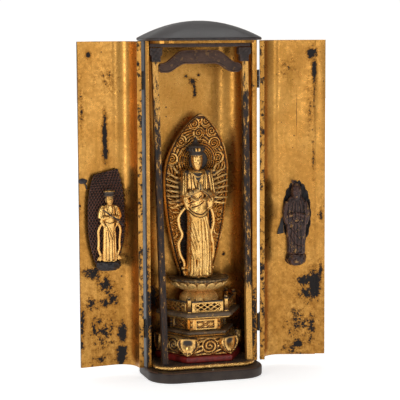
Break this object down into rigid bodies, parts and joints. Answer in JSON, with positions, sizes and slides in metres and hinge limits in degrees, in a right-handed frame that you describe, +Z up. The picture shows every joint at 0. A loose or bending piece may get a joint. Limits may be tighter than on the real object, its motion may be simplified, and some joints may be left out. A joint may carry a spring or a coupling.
{
  "type": "portable shrine",
  "caption": "Portable shrine: lacquered case with two curved hinged doors, gilt inside, holding a standing figure on a tiered lotus pedestal before a carved mandorla.",
  "frame": {"origin": "centre of the base's flat underside", "axes": "+Z up, the shrine's front and open doorway face -Y, +X to the viewer's right"},
  "size_m": [0.2848, 0.0936, 0.3939],
  "materials": {
    "black_lacquer": "worn satin black lacquer",
    "case_gilding": "rubbed gold leaf on lacquer, dark where worn",
    "carved_gilding": "burnished gold leaf with dark recesses",
    "dark_wood": "dark brown lacquered wood, worn",
    "red_lacquer": "satin red lacquer",
    "hinge_metal": "darkened metal"
  },
  "bodies": {
    "shrine": {"arch_beam": "dark_wood", "base_slab": "black_lacquer", "bracket_left": "dark_wood", "bracket_right": "dark_wood", "case_shell": "case_gilding", "ceiling_step": "case_gilding", "floor_step": "case_gilding", "header_beam": "dark_wood", "hinge_left_lower_case": "hinge_metal", "hinge_left_upper_case": "hinge_metal", "hinge_right_lower_case": "hinge_metal", "hinge_right_upper_case": "hinge_metal", "lotus_lower": "carved_gilding", "lotus_upper": "carved_gilding", "main_figure": "carved_gilding", "main_mandorla": "carved_gilding", "platform": "dark_wood", "plinth": "red_lacquer", "post_left": "case_gilding", "post_right": "case_gilding", "rail_panel_1": "carved_gilding", "rail_panel_2": "carved_gilding", "rail_panel_3": "carved_gilding", "rail_panel_4": "carved_gilding", "rail_panel_5": "carved_gilding", "rail_post_1": "carved_gilding", "rail_post_2": "carved_gilding", "rail_post_3": "carved_gilding", "rail_post_4": "carved_gilding", "rail_post_5": "carved_gilding", "rail_post_6": "carved_gilding", "roof": "black_lacquer", "skirt": "carved_gilding", "waist_box": "carved_gilding", "waist_slab": "dark_wood"},
    "left_door": {"hinge_left_lower_door": "hinge_metal", "hinge_left_upper_door": "hinge_metal", "left_attendant": "carved_gilding", "left_door": "case_gilding", "left_leaf": "dark_wood", "left_mandorla": "dark_wood", "left_rock": "dark_wood"},
    "right_door": {"hinge_right_lower_door": "hinge_metal", "hinge_right_upper_door": "hinge_metal", "right_attendant": "dark_wood", "right_door": "case_gilding", "right_flame": "dark_wood", "right_rock": "dark_wood"}
  },
  "joints": [
    {"name": "left_door_hinge", "type": "hinge", "parent": "shrine", "child": "left_door", "pos_m": [-0.066, -0.0104, 0.19], "axis": [0, 0, 1], "range_deg": [-4, 172]},
    {"name": "right_door_hinge", "type": "hinge", "parent": "shrine", "child": "right_door", "pos_m": [0.066, -0.0104, 0.19], "axis": [0, 0, -1], "range_deg": [-12, 164]}
  ]
}
